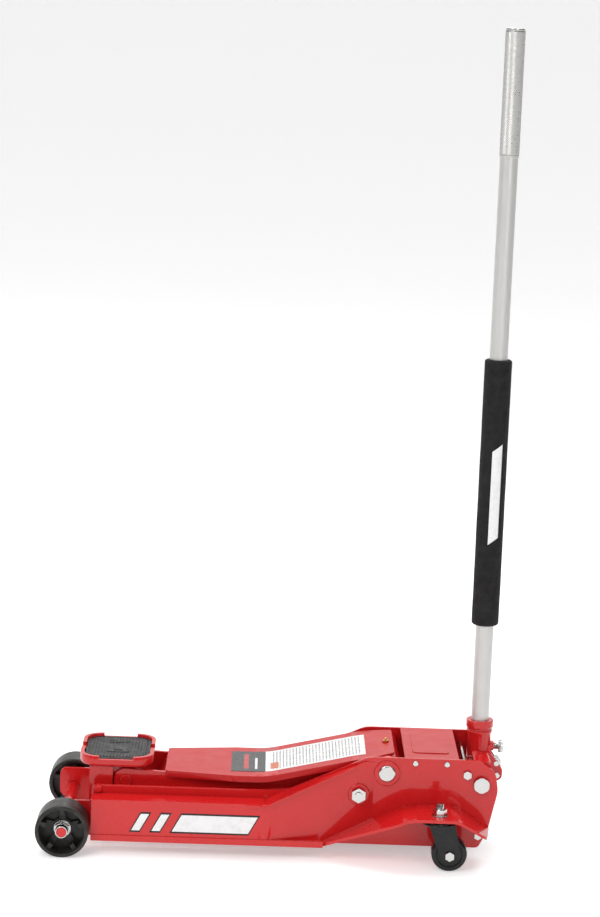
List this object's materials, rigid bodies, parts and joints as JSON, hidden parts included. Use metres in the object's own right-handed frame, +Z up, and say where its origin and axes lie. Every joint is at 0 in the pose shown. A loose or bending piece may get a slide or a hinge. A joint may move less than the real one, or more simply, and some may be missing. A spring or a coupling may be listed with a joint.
{
  "type": "hydraulic floor jack",
  "caption": "Low red trolley jack with swivelling padded saddle, levelled lift arm, front wheels, rear swivel casters and an upright pumping handle with foam grip.",
  "frame": {"origin": "on the floor, under the middle of the jack's overall box", "axes": "+Z up along the upright handle; +X from the saddle end to the handle end; Y across the jack"},
  "size_m": [0.7401, 0.334, 1.305],
  "materials": {
    "red_paint": "gloss red powder coat",
    "red_satin": "satin red powder coat",
    "plated_steel": "bright zinc plate",
    "chrome_rod": "hard chrome",
    "cast_block": "rough casting",
    "dark_paint": "satin black",
    "handle_metal": "matte silver",
    "machined_steel": "machined",
    "foam": "matte foam",
    "pad_rubber": "moulded rubber",
    "wheel_plastic": "satin grey-black",
    "caster_rubber": "satin black",
    "brass": "satin",
    "label_film": "printed film"
  },
  "bodies": {
    "chassis": {"side_plate_left": "red_paint", "side_plate_right": "red_paint", "side_skirt_left": "red_paint", "side_skirt_right": "red_paint", "front_axle": "red_paint", "front_axle_nuts": "plated_steel", "front_spreader": "red_paint", "rear_top_cover": "red_satin", "cover_screws": "plated_steel", "main_pivot_shaft": "plated_steel", "pivot_bosses": "red_paint", "rod_pivot_bolts": "plated_steel", "socket_pivot_bolts": "plated_steel", "tie_rod": "plated_steel", "side_bolts": "plated_steel", "hydraulic_block": "cast_block", "cylinder_tube": "dark_paint", "cylinder_gland": "cast_block", "reservoir_shell": "dark_paint", "kingpins": "plated_steel", "caster_races": "plated_steel", "return_springs": "plated_steel", "plunger_spring": "dark_paint"},
    "lift_arm": {"arm_side_left": "red_paint", "arm_side_right": "red_paint", "arm_cover": "red_satin", "arm_hub": "red_paint", "arm_cross_plate": "red_paint", "lug_pin": "plated_steel", "saddle_pivot_pin": "red_paint", "grease_fitting": "brass", "arm_label": "label_film"},
    "saddle_bracket": {"saddle_bracket": "red_paint", "level_pin": "plated_steel"},
    "saddle": {"saddle_tray": "red_paint", "saddle_pad": "pad_rubber"},
    "level_rods": {"level_rod_left": "red_paint", "level_rod_right": "red_paint"},
    "ram": {"ram_rod": "chrome_rod", "ram_crosshead": "cast_block"},
    "handle_socket": {"handle_socket": "red_paint", "striker_pin": "plated_steel", "guide_roller": "plated_steel"},
    "handle": {"handle_tube": "handle_metal", "handle_cap": "plated_steel", "foam_grip": "foam", "handle_coupler": "machined_steel"},
    "thumb_screw": {"thumb_screw": "plated_steel"},
    "release_stem": {"release_stem": "plated_steel"},
    "pump_plunger": {"pump_plunger": "plated_steel"},
    "front_wheel_left": {"front_wheel_left": "wheel_plastic", "front_bush_left": "plated_steel"},
    "front_wheel_right": {"front_wheel_right": "wheel_plastic", "front_bush_right": "plated_steel"},
    "caster_fork_left": {"caster_fork_left": "dark_paint", "caster_axle_left": "plated_steel"},
    "caster_fork_right": {"caster_fork_right": "dark_paint", "caster_axle_right": "plated_steel"},
    "caster_wheel_left": {"caster_wheel_left": "caster_rubber"},
    "caster_wheel_right": {"caster_wheel_right": "caster_rubber"}
  },
  "joints": [
    {"name": "arm_lift", "type": "hinge", "parent": "chassis", "child": "lift_arm", "pos_m": [0.1805, 0, 0.1365], "axis": [0, 1, 0], "range_deg": [0, 59]},
    {"name": "ram_slide", "type": "slide", "parent": "chassis", "child": "ram", "axis": [-1, 0, 0], "range_m": [0, 0.04974], "deforming": ["return_springs"]},
    {"name": "bracket_level", "type": "hinge", "parent": "lift_arm", "child": "saddle_bracket", "pos_m": [-0.23407, 0, 0.10205], "axis": [0, 1, 0], "range_deg": [-59.5, 0.5]},
    {"name": "rod_swing", "type": "hinge", "parent": "chassis", "child": "level_rods", "pos_m": [0.1365, 0, 0.1025], "axis": [0, 1, 0], "range_deg": [-0.5, 59.5]},
    {"name": "saddle_swivel", "type": "hinge", "parent": "saddle_bracket", "child": "saddle", "pos_m": [-0.25007, 0, 0.123], "axis": [0, 0, 1], "continuous": true},
    {"name": "socket_pump", "type": "hinge", "parent": "chassis", "child": "handle_socket", "pos_m": [0.331, 0, 0.123], "axis": [0, 1, 0], "range_deg": [0, 55]},
    {"name": "plunger_slide", "type": "slide", "parent": "chassis", "child": "pump_plunger", "axis": [-0.5, 0, -0.866], "range_m": [0, 0.02842], "deforming": ["plunger_spring"]},
    {"name": "handle_twist", "type": "hinge", "parent": "handle_socket", "child": "handle", "pos_m": [0.331, 0, 0.205], "axis": [0, 0, 1], "range_deg": [0, 60]},
    {"name": "release_turn", "type": "hinge", "parent": "chassis", "child": "release_stem", "pos_m": [0.331, 0, 0.123], "axis": [0.5, 0, 0.866], "range_deg": [-0.5, 60.5]},
    {"name": "thumb_screw_turn", "type": "hinge", "parent": "handle_socket", "child": "thumb_screw", "pos_m": [0.36, 0, 0.162], "axis": [1, 0, 0], "range_deg": [0, 720]},
    {"name": "front_wheel_left_spin", "type": "hinge", "parent": "chassis", "child": "front_wheel_left", "pos_m": [-0.32807, -0.123, 0.042], "axis": [0, 1, 0], "continuous": true},
    {"name": "front_wheel_right_spin", "type": "hinge", "parent": "chassis", "child": "front_wheel_right", "pos_m": [-0.32807, 0.123, 0.042], "axis": [0, 1, 0], "continuous": true},
    {"name": "caster_left_swivel", "type": "hinge", "parent": "chassis", "child": "caster_fork_left", "pos_m": [0.263, -0.14, 0.075], "axis": [0, 0, 1], "continuous": true},
    {"name": "caster_right_swivel", "type": "hinge", "parent": "chassis", "child": "caster_fork_right", "pos_m": [0.263, 0.14, 0.075], "axis": [0, 0, 1], "continuous": true},
    {"name": "caster_wheel_left_spin", "type": "hinge", "parent": "caster_fork_left", "child": "caster_wheel_left", "pos_m": [0.28, -0.14, 0.028], "axis": [0, 1, 0], "continuous": true},
    {"name": "caster_wheel_right_spin", "type": "hinge", "parent": "caster_fork_right", "child": "caster_wheel_right", "pos_m": [0.28, 0.14, 0.028], "axis": [0, 1, 0], "continuous": true}
  ],
  "couplings": [
    {"joint": "ram_slide", "follows": "arm_lift", "m_per_rad": 0.04782},
    {"joint": "bracket_level", "follows": "arm_lift", "ratio": -1},
    {"joint": "rod_swing", "follows": "arm_lift", "ratio": 1},
    {"joint": "plunger_slide", "follows": "socket_pump", "m_per_rad": 0.029086},
    {"joint": "release_turn", "follows": "handle_twist", "ratio": 1}
  ]
}
